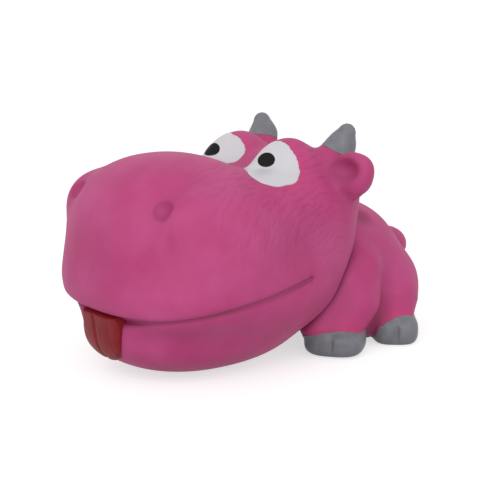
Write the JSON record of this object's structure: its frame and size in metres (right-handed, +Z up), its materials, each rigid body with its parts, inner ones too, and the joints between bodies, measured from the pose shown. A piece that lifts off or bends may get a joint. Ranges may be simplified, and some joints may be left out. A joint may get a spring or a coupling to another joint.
{
  "type": "squeaky rubber dog toy",
  "caption": "Hollow latex squeaky toy: a stubby horned beast with a huge muzzle, hanging tongue, bulging eyes and hoofed legs, with a push-in reed squeaker in its belly",
  "frame": {"origin": "on the surface it stands on, under the middle of its length and width", "axes": "+Z up; the beast faces -Y, so +Y runs from nose to tail; +X is its left side"},
  "size_m": [0.0838, 0.1402, 0.0798],
  "materials": {
    "pink_latex": "matt moulded latex with fine engraved strokes",
    "grey_paint": "satin latex paint on latex",
    "white_paint": "glossy latex paint on latex",
    "black_paint": "glossy latex paint on latex",
    "red_paint": "satin latex paint on latex",
    "squeaker_plastic": "moulded",
    "reed_film": "thin film"
  },
  "bodies": {
    "toy": {"head_skin": "pink_latex", "lower_jaw": "pink_latex", "left_ear": "pink_latex", "right_ear": "pink_latex", "trunk_skin": "pink_latex", "tail": "pink_latex", "front_left_leg": "pink_latex", "front_right_leg": "pink_latex", "rear_left_leg": "pink_latex", "rear_right_leg": "pink_latex", "left_horn": "grey_paint", "right_horn": "grey_paint", "front_left_hoof": "grey_paint", "front_right_hoof": "grey_paint", "rear_left_hoof": "grey_paint", "rear_right_hoof": "grey_paint", "left_eye": "white_paint", "right_eye": "white_paint", "left_pupil": "black_paint", "right_pupil": "black_paint", "tongue": "red_paint", "squeaker_housing": "squeaker_plastic", "reed_seat": "squeaker_plastic", "reed_clamp": "squeaker_plastic"},
    "reed": {"squeaker_reed": "reed_film"}
  },
  "joints": [
    {"name": "reed_flex", "type": "hinge", "parent": "toy", "child": "reed", "pos_m": [0, 0.03187, 0.00586], "axis": [-1, 0, 0], "range_deg": [0, 8], "stiffness_Nm_per_rad": 0.0004}
  ]
}
